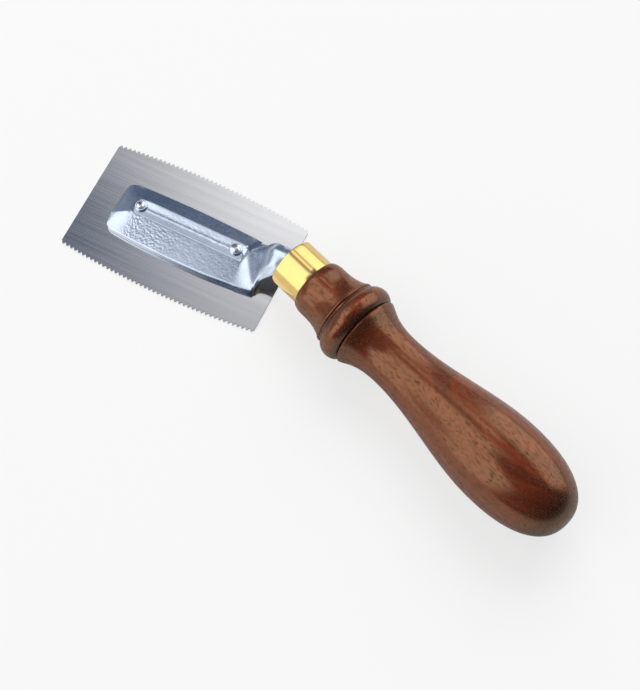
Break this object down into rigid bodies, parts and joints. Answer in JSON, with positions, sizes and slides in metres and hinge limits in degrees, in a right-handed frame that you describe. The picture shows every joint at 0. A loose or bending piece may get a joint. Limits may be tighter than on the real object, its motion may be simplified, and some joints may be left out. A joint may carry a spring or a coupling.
{
  "type": "veneer saw",
  "caption": "Small offset saw for cutting veneer: thin blade toothed on both long edges, forged cranked holder, brass ferrule and turned wooden handle.",
  "frame": {"origin": "middle of the blade's flat face, the side without the holder", "axes": "+X along the blade's length towards the handle, +Y across the blade away from the side that the handle leans to, +Z from the flat face through the blade to the holder"},
  "size_m": [0.2, 0.0728, 0.0316],
  "materials": {
    "ground_steel": "fine lengthwise grinding marks, satin",
    "zinc_plated_steel": "bright bluish zinc over a pitted forged skin",
    "rivet_steel": "bright zinc, clinched end with a dimple",
    "brass": "polished with fine turning marks",
    "oiled_wood": "reddish-brown hardwood, satin oil finish, dark pores along the grain"
  },
  "bodies": {
    "root": {"blade": "ground_steel", "holder": "zinc_plated_steel", "front_rivet": "rivet_steel", "rear_rivet": "rivet_steel", "ferrule": "brass", "handle": "oiled_wood"}
  },
  "joints": []
}
